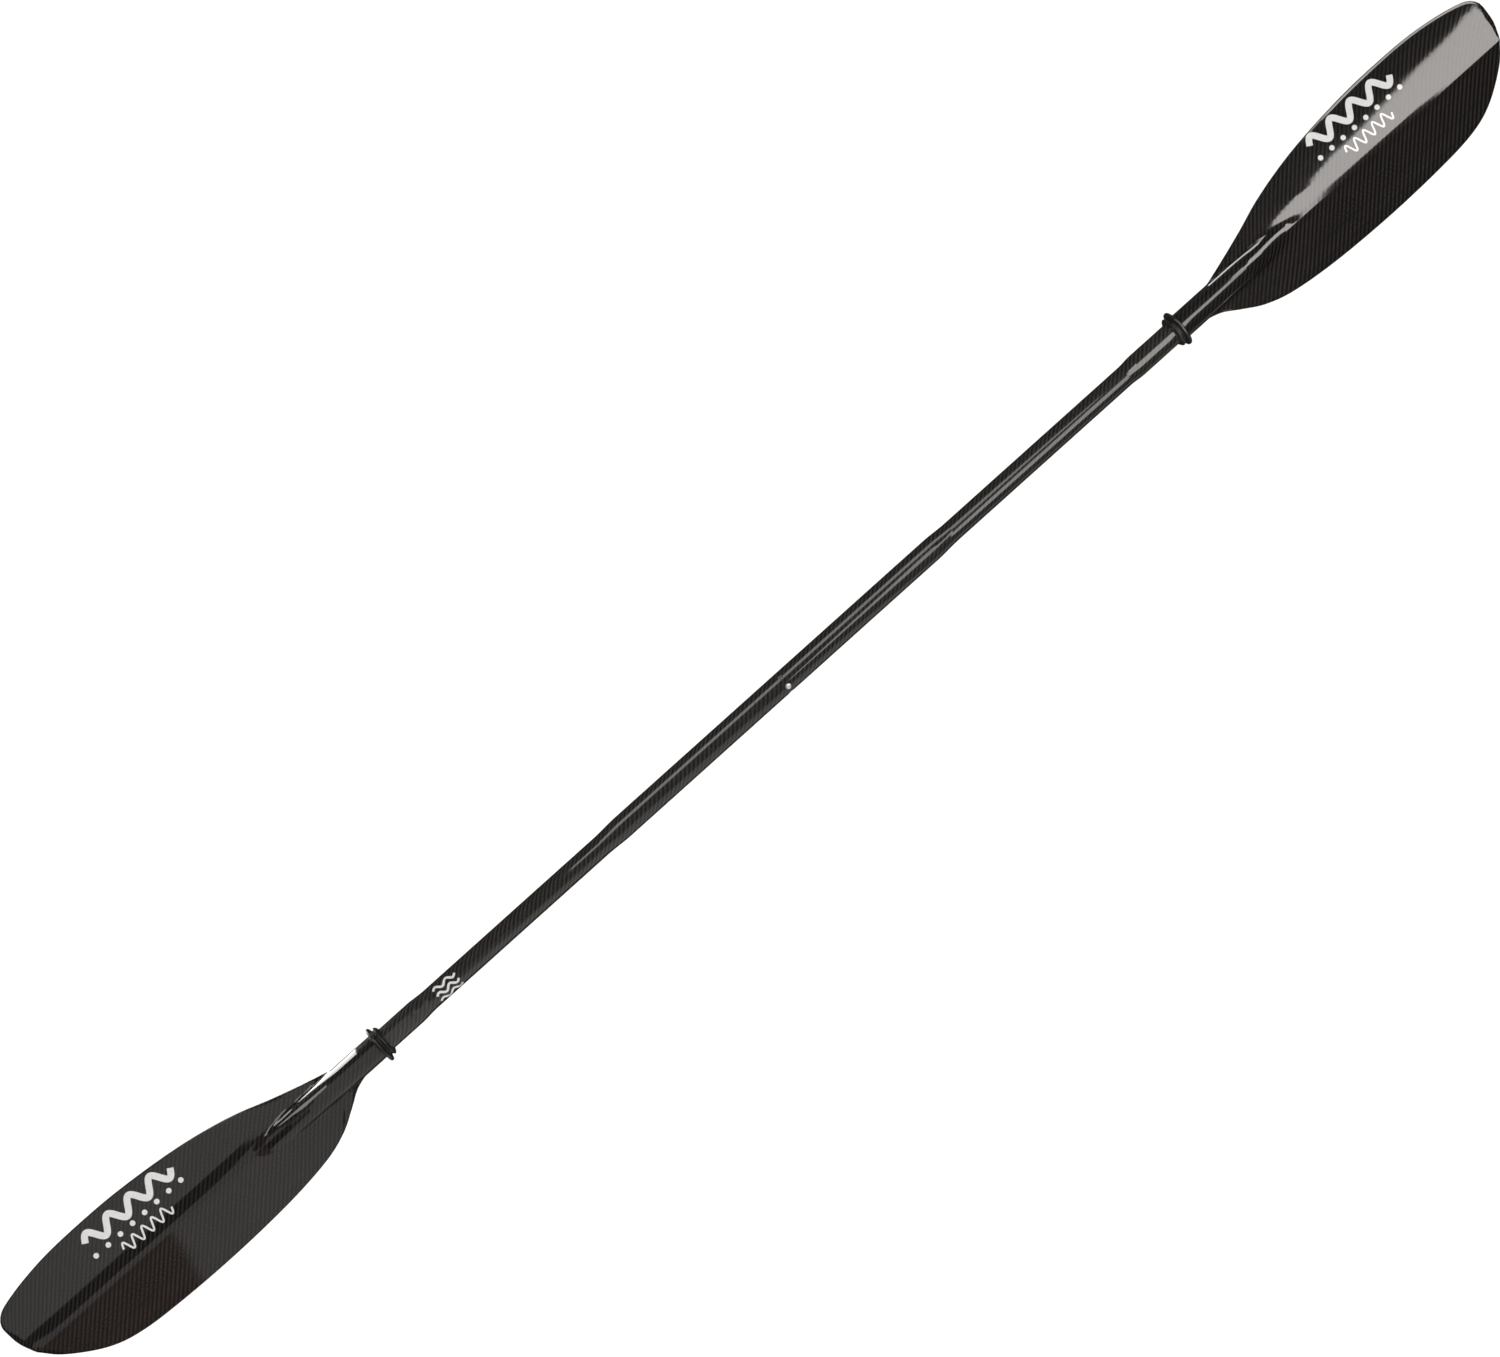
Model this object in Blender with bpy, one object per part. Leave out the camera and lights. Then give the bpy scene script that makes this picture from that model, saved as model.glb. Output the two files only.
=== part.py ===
"""Two-piece kayak paddle: carbon shaft with a snap-button ferrule, and two foam-core blades.

Frame: the origin is on the shaft's axis, at the snap button. +X runs along the shaft to the half
with the socket, +Y points to the long edges of both blades, and +Z out of their power faces.
All lengths are in metres. The two halves are mirror images in X, apart from the joint.
"""
from math import cos, hypot, pi, radians, sin, sqrt, tan

import bmesh
import bpy
from mathutils import Matrix, Vector

# Running or bonding gap between two pieces that touch on the real paddle
GAP = 0.0003

# Shaft tubes
SHAFT_R = 0.0142
SHAFT_WALL = 0.0014
GRIP_HALF_Y = 0.0128
GRIP_HALF_Z = 0.0156
JOINT_X = -0.042
SHAFT_END_X = 0.720
# Per half: where the round middle ends, and the oval starts, ends and is round again
GRIP_ZONE = {-1: (0.252, 0.285, 0.550, 0.573), 1: (0.232, 0.265, 0.541, 0.561)}
EASE_STEPS = 4
TUBE_SIDES = 32

# Ferrule between the halves
BORE_R = SHAFT_R - SHAFT_WALL
FERRULE_R = BORE_R - GAP
FERRULE_WALL = 0.0016
FERRULE_X = (-0.114, 0.058)
PLUG_LENGTH = 0.008
BULKHEAD_X = (0.074, 0.084)
SHAFT_PLUG_X = (0.696, 0.714)

# Snap button, on a radius of the shaft that leans from +Z towards -Y, and its three index holes
BUTTON_ANGLE = radians(28)
INDEX_ANGLE = radians(60)
BUTTON_R = 0.0035
BUTTON_TOP = 0.0172
BUTTON_DOME = 0.0022
HOLE_R = 0.0039
SPRING_WIDTH = 0.007
SPRING_THICKNESS = 0.0006
SPRING_BEND_X = -0.036
SPRING_BEND_R = 0.0025
SPRING_TIP_X = 0.0062
SPRING_UPPER_R = 0.0090
SPRING_LOWER_R = -0.0094

# Drip rings: their place on the shaft, and the section from the shaft side to the blade side
RING_X = 0.6165
RING_BORE_R = SHAFT_R + GAP
RING_PROFILE = (
    (0.0000, RING_BORE_R),
    (0.0000, 0.0162),
    (0.0008, 0.0178),
    (0.0026, 0.0196),
    (0.0036, 0.0196),
    (0.0047, 0.0181),
    (0.0060, 0.0176),
    (0.0071, 0.0190),
    (0.0082, 0.0226),
    (0.0092, 0.0235),
    (0.0108, 0.0235),
    (0.0119, 0.0224),
    (0.0125, 0.0195),
    (0.0125, RING_BORE_R),
)

# Blades: neck, then the outline's own points from the throat to the tip
NECK_R = 0.0160
NECK_X = 0.6295
LOWER_EDGE = (
    (0.664, -0.0160),
    (0.680, -0.0215),
    (0.700, -0.0340),
    (0.725, -0.0480),
    (0.760, -0.0585),
    (0.820, -0.0655),
    (0.900, -0.0683),
    (0.980, -0.0667),
    (1.040, -0.0615),
    (1.080, -0.0490),
    (1.120, -0.0225),
    (1.1405, 0.0),
)
UPPER_EDGE = (
    (0.688, 0.0160),
    (0.720, 0.0250),
    (0.760, 0.0373),
    (0.800, 0.0510),
    (0.850, 0.0630),
    (0.900, 0.0706),
    (0.960, 0.0760),
    (1.010, 0.0773),
    (1.060, 0.0762),
    (1.100, 0.0715),
    (1.130, 0.0650),
    (1.1440, 0.0590),
    (1.1515, 0.0490),
    (1.1520, 0.0380),
    (1.1495, 0.0200),
    (1.1405, 0.0),
)
CREASE_END_X = 1.1405

# Blade thickness: skins on a core, and where it grows out of the neck and then thins
SKIN = 0.0011
NECK_WALL = NECK_R - SHAFT_R - GAP
WALL_EASE_Y = (0.017, 0.024)
EDGE_HALF_THICKNESS = SKIN + GAP / 2
ROOT_HALF_THICKNESS = 0.0045
TIP_HALF_THICKNESS = 0.0030
ROOT_X = (0.630, 0.690)
THINNING_X = (0.700, 1.130)

# Blade curvature: the spoon along its crease, and the fall of its two sides from the crease
SPOON_X = (0.690, 1.151)
SPOON_DEPTH = 0.024
SPOON_POWER = 1.7
LOWER_SLOPE = tan(radians(4))
RIDGE_SLOPE = tan(radians(9))
UPPER_SLOPE = tan(radians(3))
RIDGE_WIDTH = 0.030
CUP = 1.7
ROOF_X = (0.650, 0.755)
MIDDLE_X = (0.640, 0.690)

# Rib: the neck carried on into the blade; it sinks into the power face (1) and narrows on the back (-1)
RIB_FADE_X = 0.727
RIB_NOSE_X = {1: 0.875, -1: 0.985}
RIB_SINK = {1: 0.020, -1: 0.0}
RIB_NOSE_R = {1: NECK_R, -1: 0.0021}
RIB_DROP = 4.0
FILLET = 0.0016

# Blade mesh: rows across it, fanned round the tip, and columns from the crease to each edge
THROAT_X = (0.660, 0.810)
THROAT_ROWS = 10
BLADE_ROWS = 6
FAN_EASE_X = 0.960
FAN_X = 1.040
FAN_ROWS = 8
COLUMNS = 8
RIB_COLUMNS = 4
RIB_SIDE = radians(76)
EVEN_COLUMNS_X = 0.900
NUDGE = 0.001
CORE_ROWS = (8, 23)
CORE_COLUMNS = 7


def clear_scene():
    for item in list(bpy.data.objects):
        bpy.data.objects.remove(item, do_unlink=True)


def material(name, colour, roughness, metallic=0.0):
    """A plain Principled material, made once for each name."""
    made = bpy.data.materials.get(name)
    if made is None:
        made = bpy.data.materials.new(name)
        made.use_nodes = True
        shader = made.node_tree.nodes["Principled BSDF"]
        shader.inputs["Base Color"].default_value = (*colour, 1.0)
        shader.inputs["Roughness"].default_value = roughness
        shader.inputs["Metallic"].default_value = metallic
    return made


def carbon():
    return material("carbon", (0.022, 0.020, 0.019), 0.22)


def ferrule_glass():
    return material("ferrule_glass", (0.055, 0.060, 0.050), 0.35)


def foam():
    return material("foam", (0.62, 0.56, 0.42), 0.9)


def plug_foam():
    return material("plug_foam", (0.10, 0.10, 0.11), 0.85)


def ring_rubber():
    return material("ring_rubber", (0.018, 0.018, 0.018), 0.38)


def spring_steel():
    return material("spring_steel", (0.62, 0.61, 0.59), 0.28, 1.0)


def add_object(name, mesh, finish, parent=None):
    item = bpy.data.objects.new(name, mesh)
    mesh.materials.append(finish)
    item.parent = parent
    bpy.context.collection.objects.link(item)
    return item


def finish_mesh(name, shape, sharp_angle=radians(32)):
    """Close off a bmesh as a smooth-shaded mesh with its faces pointing out."""
    bmesh.ops.recalc_face_normals(shape, faces=shape.faces)
    mesh = bpy.data.meshes.new(name)
    shape.to_mesh(mesh)
    shape.free()
    mesh.shade_smooth()
    mesh.set_sharp_from_angle(angle=sharp_angle)
    return mesh


def guide(item):
    """Mark an object as a cutter or a form, which isn't part of the paddle."""
    item.hide_render = True
    item.display_type = "WIRE"
    return item


def boolean(item, other, operation):
    step = item.modifiers.new(f"{operation.lower()}_{other.name}", "BOOLEAN")
    step.operation = operation
    step.solver = "EXACT"
    step.object = other


def smoothstep(low, high, value):
    ratio = min(max((value - low) / (high - low), 0.0), 1.0)
    return ratio * ratio * (3 - 2 * ratio)


def mix(low, high, ratio):
    return low + (high - low) * ratio


# ---------------------------------------------------------------- turned and tubular pieces


def turned(name, profile, sides):
    """A solid of revolution about X, from a closed profile of (x, radius) off the axis."""
    shape = bmesh.new()
    corners = [shape.verts.new((x, 0.0, radius)) for x, radius in profile]
    edges = [shape.edges.new((corners[i - 1], corners[i])) for i in range(len(corners))]
    bmesh.ops.spin(
        shape,
        geom=corners + edges,
        cent=(0.0, 0.0, 0.0),
        axis=(1.0, 0.0, 0.0),
        angle=2 * pi,
        steps=sides,
        use_merge=True,
    )
    return finish_mesh(name, shape)


def disc(name, x_range, radius, chamfer, sides):
    """A solid disc about X with chamfered rims."""
    shape = bmesh.new()
    length = x_range[1] - x_range[0]
    place = Matrix.Translation(((x_range[0] + x_range[1]) / 2, 0, 0)) @ Matrix.Rotation(pi / 2, 4, "Y")
    bmesh.ops.create_cone(
        shape, cap_ends=True, segments=sides, radius1=radius, radius2=radius, depth=length, matrix=place
    )
    rims = [e for e in shape.edges if abs(e.verts[0].co.x - e.verts[1].co.x) < chamfer]
    bmesh.ops.bevel(shape, geom=rims, offset=chamfer, segments=1, affect="EDGES")
    return finish_mesh(name, shape)


def shaft_half_axes(side, x):
    """Half width in Y and half depth in Z of a shaft tube's outside, at a distance x from the middle."""
    start, oval_from, oval_to, end = GRIP_ZONE[side]
    oval = smoothstep(start, oval_from, x) - smoothstep(oval_to, end, x)
    return mix(SHAFT_R, GRIP_HALF_Y, oval), mix(SHAFT_R, GRIP_HALF_Z, oval)


def shaft_stations(side):
    """Distances from the middle at which a shaft tube's section is drawn."""
    start, oval_from, oval_to, end = GRIP_ZONE[side]
    first = side * JOINT_X + (GAP if side < 0 else 0.0)
    eases = [mix(start, oval_from, i / EASE_STEPS) for i in range(EASE_STEPS + 1)]
    eases += [mix(oval_to, end, i / EASE_STEPS) for i in range(EASE_STEPS + 1)]
    return [first, *eases, SHAFT_END_X]


def shaft_tube(name, side):
    """A hollow tube of even wall: round, with an oval stretch where the hand holds it."""
    shape = bmesh.new()
    walls = []
    for inset in (0.0, SHAFT_WALL):
        rings = []
        for x in shaft_stations(side):
            half_y, half_z = shaft_half_axes(side, x)
            ring = []
            for i in range(TUBE_SIDES):
                a = 2 * pi * i / TUBE_SIDES
                y, z = (half_y - inset) * sin(a), (half_z - inset) * cos(a)
                ring.append(shape.verts.new((side * x, y, z)))
            rings.append(ring)
        walls.append(rings)
    outside, inside = walls
    bands = [*zip(outside, outside[1:]), *zip(inside, inside[1:])]
    bands += [(outside[0], inside[0]), (outside[-1], inside[-1])]
    for near, far in bands:
        for i in range(TUBE_SIDES):
            shape.faces.new((near[i - 1], near[i], far[i], far[i - 1]))
    return finish_mesh(name, shape)


def radial_cutter(name, angle, radius, reach):
    """A round cutter on the radius of the shaft at this angle from +Z towards -Y, at the button."""
    shape = bmesh.new()
    place = Matrix.Rotation(angle, 4, "X") @ Matrix.Translation((0, 0, mix(*reach, 0.5)))
    bmesh.ops.create_cone(
        shape,
        cap_ends=True,
        segments=20,
        radius1=radius,
        radius2=radius,
        depth=reach[1] - reach[0],
        matrix=place,
    )
    return guide(add_object(name, finish_mesh(name, shape), spring_steel()))


# ---------------------------------------------------------------- the joint between the halves


def left_shaft(parent):
    add_object("left_shaft", shaft_tube("left_shaft", -1), carbon(), parent)


def right_shaft(parent):
    """The tube with the socket: the button clicks into one of three holes, 60 degrees apart."""
    tube = add_object("right_shaft", shaft_tube("right_shaft", 1), carbon(), parent)
    for label, turn in (("left", -INDEX_ANGLE), ("middle", 0.0), ("right", INDEX_ANGLE)):
        cutter = radial_cutter(
            f"index_hole_{label}", BUTTON_ANGLE + turn, HOLE_R, (BORE_R - 0.003, SHAFT_R + 0.003)
        )
        boolean(tube, cutter, "DIFFERENCE")


def male_ferrule(parent):
    bore = FERRULE_R - FERRULE_WALL
    profile = [(FERRULE_X[0], bore), (FERRULE_X[0], FERRULE_R)]
    profile += [(FERRULE_X[1] - 0.002, FERRULE_R), (FERRULE_X[1], FERRULE_R - 0.001), (FERRULE_X[1], bore)]
    mesh = turned("male_ferrule", profile, TUBE_SIDES)
    sleeve = add_object("male_ferrule", mesh, ferrule_glass(), parent)
    cutter = radial_cutter("button_hole", BUTTON_ANGLE, HOLE_R, (bore - 0.002, FERRULE_R + 0.002))
    boolean(sleeve, cutter, "DIFFERENCE")


def plugs(left_parent, right_parent):
    """The ferrule's end plug, the socket's bulkhead and the foam plugs in the tubes' blade ends."""
    ferrule_bore = FERRULE_R - FERRULE_WALL
    rows = (
        ("ferrule_plug", (FERRULE_X[1] - PLUG_LENGTH, FERRULE_X[1]), ferrule_bore, left_parent),
        ("left_shaft_plug", (-SHAFT_PLUG_X[1], -SHAFT_PLUG_X[0]), BORE_R, left_parent),
        ("socket_bulkhead", BULKHEAD_X, BORE_R, None),
        ("right_shaft_plug", SHAFT_PLUG_X, BORE_R, right_parent),
    )
    for name, x_range, bore, parent in rows:
        mesh = disc(name, x_range, bore - GAP, 0.0008, 24)
        add_object(name, mesh, plug_foam(), parent)


def spring_path():
    """Centre line of the V spring in the plane of the shaft's axis and the button: (x, radius)."""
    bend = [radians(90 + 22.5 * i) for i in range(9)]
    turn = [(SPRING_BEND_X + SPRING_BEND_R * cos(a), SPRING_BEND_R * sin(a)) for a in bend]
    upper = [(SPRING_TIP_X, SPRING_UPPER_R), (-SPRING_TIP_X, SPRING_UPPER_R)]
    return upper + turn + [(-SPRING_TIP_X, SPRING_LOWER_R), (SPRING_TIP_X, SPRING_LOWER_R)]


def spring_outline():
    """Both sides of the spring's leaf, as one closed loop of (x, radius)."""
    path = [Vector(point) for point in spring_path()]
    outer, inner = [], []
    for i, point in enumerate(path):
        along = (path[min(i + 1, len(path) - 1)] - path[max(i - 1, 0)]).normalized()
        across = Vector((along.y, -along.x)) * (SPRING_THICKNESS / 2)
        outer.append(point + across)
        inner.append(point - across)
    return outer + inner[::-1]


def button_form():
    """The drawn button: a round boss on the leaf with a domed end."""
    skirt = BUTTON_TOP - BUTTON_DOME
    rise = [radians(15 * i) for i in range(6)]
    profile = [(BUTTON_R, SPRING_UPPER_R)]
    profile += [(BUTTON_R * cos(a), skirt + BUTTON_DOME * sin(a)) for a in rise]
    shape = bmesh.new()
    sides = 20
    rings = []
    for radius, height in profile:
        turns = [2 * pi * i / sides for i in range(sides)]
        rings.append([shape.verts.new((radius * cos(a), radius * sin(a), height)) for a in turns])
    for near, far in zip(rings, rings[1:]):
        for i in range(sides):
            shape.faces.new((near[i - 1], near[i], far[i], far[i - 1]))
    shape.faces.new(rings[0])
    shape.faces.new(rings[-1])
    bmesh.ops.transform(shape, matrix=Matrix.Rotation(BUTTON_ANGLE, 4, "X"), verts=shape.verts)
    return guide(add_object("button_form", finish_mesh("button_form", shape), spring_steel()))


def snap_button_spring(parent):
    """One stamped steel piece: a V-shaped leaf inside the ferrule, and the button on its upper leg."""
    shape = bmesh.new()
    half = SPRING_WIDTH / 2
    sides = [[shape.verts.new((x, y, r)) for x, r in spring_outline()] for y in (-half, half)]
    count = len(sides[0])
    for i in range(count):
        shape.faces.new((sides[0][i - 1], sides[0][i], sides[1][i], sides[1][i - 1]))
    for i in range(count // 2 - 1):
        for side in sides:
            shape.faces.new((side[i], side[i + 1], side[count - 2 - i], side[count - 1 - i]))
    bmesh.ops.transform(shape, matrix=Matrix.Rotation(BUTTON_ANGLE, 4, "X"), verts=shape.verts)
    mesh = finish_mesh("snap_button_spring", shape)
    leaf = add_object("snap_button_spring", mesh, spring_steel(), parent)
    boolean(leaf, button_form(), "UNION")


def drip_ring(name, side, parent):
    """A soft ring with a tall lip on its blade side and a low lip on its shaft side."""
    mesh = turned(name, [(side * x, radius) for x, radius in RING_PROFILE], 28)
    ring = add_object(name, mesh, ring_rubber(), parent)
    ring.location.x = side * RING_X


# ---------------------------------------------------------------- blades


def spline(points, ratio):
    """A point on the smooth curve through these points, at this share of their number."""
    place = ratio * (len(points) - 1)
    index = min(int(place), len(points) - 2)
    t = place - index
    near, far = Vector(points[index]), Vector(points[index + 1])
    before = Vector(points[index - 1]) if index else near * 2 - far
    after = Vector(points[index + 2]) if index + 2 < len(points) else far * 2 - near
    swing = (far - before) * t + (before * 2 - near * 5 + far * 4 - after) * t * t
    return near + (swing + (near * 3 - before - far * 3 + after) * t ** 3) / 2


def traced(points, steps=600):
    """The same curve as short chords, with the length along it to each of their ends."""
    curve = [spline(points, i / steps) for i in range(steps + 1)]
    lengths = [0.0]
    for near, far in zip(curve, curve[1:]):
        lengths.append(lengths[-1] + (far - near).length)
    return curve, lengths


def edge_at_x(curve, x, neck_y):
    """Where the outline crosses x on its way to the tip, or the neck's side before the throat."""
    if x <= curve[0].x:
        return Vector((x, neck_y))
    for near, far in zip(curve, curve[1:]):
        if near.x <= x <= far.x:
            return near.lerp(far, (x - near.x) / max(far.x - near.x, 1e-9))
    return curve[-1]


def edge_in_fan(curve, lengths, ratio):
    """A point on the outline's tip stretch, at this share of the way to the end of the crease."""
    start = next(length for point, length in zip(curve, lengths) if point.x >= FAN_X)
    wanted = mix(start, lengths[-1], ratio)
    index = next(i for i, length in enumerate(lengths) if length >= wanted - 1e-9)
    return curve[index]


def blade_rows():
    """For each row across the blade: its point on the crease, the lower edge and the upper edge."""
    lower, upper = traced(LOWER_EDGE), traced(UPPER_EDGE)
    stations = [NECK_X]
    stations += [mix(*THROAT_X, i / THROAT_ROWS) for i in range(THROAT_ROWS)]
    stations += [mix(THROAT_X[1], FAN_X, i / BLADE_ROWS) for i in range(BLADE_ROWS)]
    rows = []
    for x in stations:
        sides = edge_at_x(lower[0], x, -NECK_R), edge_at_x(upper[0], x, NECK_R)
        rows.append((Vector((x, 0.0)), *sides))
    for i in range(FAN_ROWS):
        ratio = i / FAN_ROWS
        crease = Vector((mix(FAN_X, CREASE_END_X, ratio), 0.0))
        rows.append((crease, edge_in_fan(*lower, ratio), edge_in_fan(*upper, ratio)))
    return rows


def spoon(x):
    """Height of the blade's middle surface along its crease."""
    ratio = max((x - SPOON_X[0]) / (SPOON_X[1] - SPOON_X[0]), 0.0)
    return SPOON_DEPTH * ratio ** SPOON_POWER


def roof(y):
    """How far the two sides of the blade fall away from the crease, less their cup's rise.

    The upper side starts at RIDGE_SLOPE and eases to UPPER_SLOPE over RIDGE_WIDTH.
    """
    cup = CUP * y * y / 2
    if y < 0:
        return y * LOWER_SLOPE + cup
    ratio = min(y / RIDGE_WIDTH, 1.0)
    eased = RIDGE_WIDTH * (ratio ** 3 - ratio ** 4 / 2) + max(y - RIDGE_WIDTH, 0.0)
    return cup - y * RIDGE_SLOPE + eased * (RIDGE_SLOPE - UPPER_SLOPE)


def middle(x, y):
    """Height of the surface on which the two skins meet."""
    return (spoon(x) + roof(y) * smoothstep(*ROOF_X, x)) * smoothstep(*MIDDLE_X, x)


def half_thickness(x, y, half_width):
    """Half the blade's thickness: fullest on the crease, and thin at the edge."""
    full = mix(ROOT_HALF_THICKNESS, TIP_HALF_THICKNESS, smoothstep(*THINNING_X, x))
    share = min(abs(y) / half_width, 1.0) ** 2
    return mix(full, EDGE_HALF_THICKNESS, share) * smoothstep(*ROOT_X, x)


def rib_section(x, face):
    """Height of the rib's centre line and its radius, on the way to the rib's nose."""
    fade = smoothstep(RIB_FADE_X, RIB_NOSE_X[face], x)
    return (spoon(x) - RIB_SINK[face]) * fade, mix(NECK_R, RIB_NOSE_R[face], fade)


def surface(x, y, half_width, face):
    """Height of the power face (face 1) or the back (face -1): the rib and the blade, blended."""
    blade = face * middle(x, y) + half_thickness(x, y, half_width)
    centre, radius = rib_section(x, face)
    rib = face * centre + sqrt(max(radius * radius - y * y, 0.0)) - RIB_DROP * max(abs(y) - radius, 0.0)
    fillet = FILLET * smoothstep(*ROOT_X, x)
    return face * (blade + rib + hypot(blade - rib, fillet)) / 2


def across(crease, edge, column):
    """A point of a row: columns up to RIB_COLUMNS lie on the rib, and the others out to the edge."""
    reach = abs(edge.y)
    if column < RIB_COLUMNS:
        turn = RIB_SIDE * column / RIB_COLUMNS
        flat = smoothstep(RIB_FADE_X, EVEN_COLUMNS_X, crease.x)
        run = mix(NECK_R * sin(turn), NECK_R * sin(RIB_SIDE) * column / RIB_COLUMNS, flat)
    else:
        run = mix(NECK_R * sin(RIB_SIDE), reach, (column - RIB_COLUMNS) / (COLUMNS - RIB_COLUMNS))
    fan = smoothstep(FAN_EASE_X, FAN_X, crease.x)
    return crease.lerp(edge, mix(run / reach, column / COLUMNS, fan))


def wall(y):
    """Skin thickness: heavier round the neck and rib, thin on the blade."""
    return mix(NECK_WALL, SKIN, smoothstep(*WALL_EASE_Y, abs(y)))


def outer_point(row, column, face, shift=0.0):
    """A point of a skin's outside: column 0 is on the crease, and the last ones are on the edges."""
    crease, lower, upper = row
    edge = upper if column > 0 else lower
    place = across(crease, edge, min(abs(column) + shift, COLUMNS))
    return Vector((place.x, place.y, surface(place.x, place.y, abs(edge.y), face)))


def skin_point(row, column, face, below=None):
    """The outside of a skin, or a point this far below its inside, kept off the other skin."""
    point = outer_point(row, column, face)
    if below is not None:
        depth = wall(point.y) + below
        near = outer_point(row, column, face, -NUDGE if column else 0.0)
        far = outer_point(row, column, face, NUDGE)
        along = (far - near).yz.normalized() if column else Vector((-1.0, 0.0))
        outward = 1 if column > 0 else -1
        point.y += depth * face * along.y * outward
        point.z -= depth * face * along.x * outward
    split = middle(point.x, point.y) + face * GAP / 2
    point.z = max(point.z, split) if face > 0 else min(point.z, split)
    return point


def blade_skin(name, side, face, parent):
    """One moulded skin: half of the neck, half of the rib, and a whole face of the blade."""
    shape = bmesh.new()
    columns = range(-COLUMNS, COLUMNS + 1)
    sheets = []
    for below in (None, 0.0):
        grid = []
        for row in blade_rows():
            points = [skin_point(row, column, face, below) for column in columns]
            grid.append([shape.verts.new((side * point.x, point.y, point.z)) for point in points])
        tip_z = middle(CREASE_END_X, 0.0) + face * (EDGE_HALF_THICKNESS if below is None else GAP / 2)
        tip = shape.verts.new((side * CREASE_END_X, 0.0, tip_z))
        sheets.append((grid, tip))
    for grid, tip in sheets:
        for near, far in zip(grid, grid[1:]):
            for i in range(len(near) - 1):
                shape.faces.new((near[i], near[i + 1], far[i + 1], far[i]))
        for i in range(len(grid[-1]) - 1):
            shape.faces.new((grid[-1][i], grid[-1][i + 1], tip))
    (outer, outer_tip), (inner, inner_tip) = sheets
    for end in (0, -1):
        outer_rim = [row[end] for row in outer] + [outer_tip]
        inner_rim = [row[end] for row in inner] + [inner_tip]
        for i in range(len(outer_rim) - 1):
            shape.faces.new((outer_rim[i], outer_rim[i + 1], inner_rim[i + 1], inner_rim[i]))
    for i in range(len(outer[0]) - 1):
        shape.faces.new((outer[0][i], outer[0][i + 1], inner[0][i + 1], inner[0][i]))
    add_object(name, finish_mesh(name, shape), carbon(), parent)


def blade_core(name, side, parent):
    """The foam between the skins, from beyond the shaft tube's end to just short of the tip."""
    shape = bmesh.new()
    sheets = []
    for face in (1, -1):
        grid = []
        for row in blade_rows()[CORE_ROWS[0]:CORE_ROWS[1]]:
            points = []
            for column in range(-CORE_COLUMNS, CORE_COLUMNS + 1):
                point = skin_point(row, column, face, GAP)
                points.append(shape.verts.new((side * point.x, point.y, point.z)))
            grid.append(points)
        sheets.append(grid)
    top, bottom = sheets
    for grid in sheets:
        for near, far in zip(grid, grid[1:]):
            for i in range(len(near) - 1):
                shape.faces.new((near[i], near[i + 1], far[i + 1], far[i]))
    for end in (0, -1):
        for i in range(len(top) - 1):
            shape.faces.new((top[i][end], top[i + 1][end], bottom[i + 1][end], bottom[i][end]))
        for i in range(len(top[0]) - 1):
            shape.faces.new((top[end][i], top[end][i + 1], bottom[end][i + 1], bottom[end][i]))
    add_object(name, finish_mesh(name, shape), foam(), parent)


def empty(name):
    marker = bpy.data.objects.new(name, None)
    bpy.context.collection.objects.link(marker)
    return marker


def build():
    clear_scene()
    left_half, right_half, button_axis = empty("left_half"), empty("feather_axis"), empty("button_axis")
    left_shaft(left_half)
    right_shaft(right_half)
    male_ferrule(left_half)
    plugs(left_half, right_half)
    snap_button_spring(button_axis)
    for label, side, parent in (("left", -1, left_half), ("right", 1, right_half)):
        drip_ring(f"{label}_drip_ring", side, parent)
        blade_skin(f"{label}_blade_face", side, 1, parent)
        blade_skin(f"{label}_blade_back", side, -1, parent)
        blade_core(f"{label}_blade_core", side, parent)


build()
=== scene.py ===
"""Looks for the two-piece carbon kayak paddle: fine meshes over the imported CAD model, materials,
prints, studio and camera. All lengths are in metres, in the CAD's own frame.
"""
from math import cos, hypot, pi, radians, sin, sqrt, tan

import bmesh
import bpy
from mathutils import Matrix, Vector


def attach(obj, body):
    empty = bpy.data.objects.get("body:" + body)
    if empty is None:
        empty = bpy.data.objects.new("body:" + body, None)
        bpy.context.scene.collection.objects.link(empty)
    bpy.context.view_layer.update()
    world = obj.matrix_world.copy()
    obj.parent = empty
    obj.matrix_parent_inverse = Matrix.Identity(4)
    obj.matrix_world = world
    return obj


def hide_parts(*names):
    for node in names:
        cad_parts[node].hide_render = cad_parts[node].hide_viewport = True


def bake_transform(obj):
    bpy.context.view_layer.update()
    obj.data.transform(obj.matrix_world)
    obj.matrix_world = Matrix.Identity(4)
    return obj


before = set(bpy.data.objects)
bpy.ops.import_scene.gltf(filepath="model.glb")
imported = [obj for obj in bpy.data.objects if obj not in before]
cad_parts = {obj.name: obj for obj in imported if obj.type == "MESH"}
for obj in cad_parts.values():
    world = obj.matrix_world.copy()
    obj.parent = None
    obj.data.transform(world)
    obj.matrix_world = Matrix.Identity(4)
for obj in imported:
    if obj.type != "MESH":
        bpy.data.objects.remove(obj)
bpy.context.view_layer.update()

# ---------------------------------------------------------------- sizes, the same as the CAD's

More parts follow.
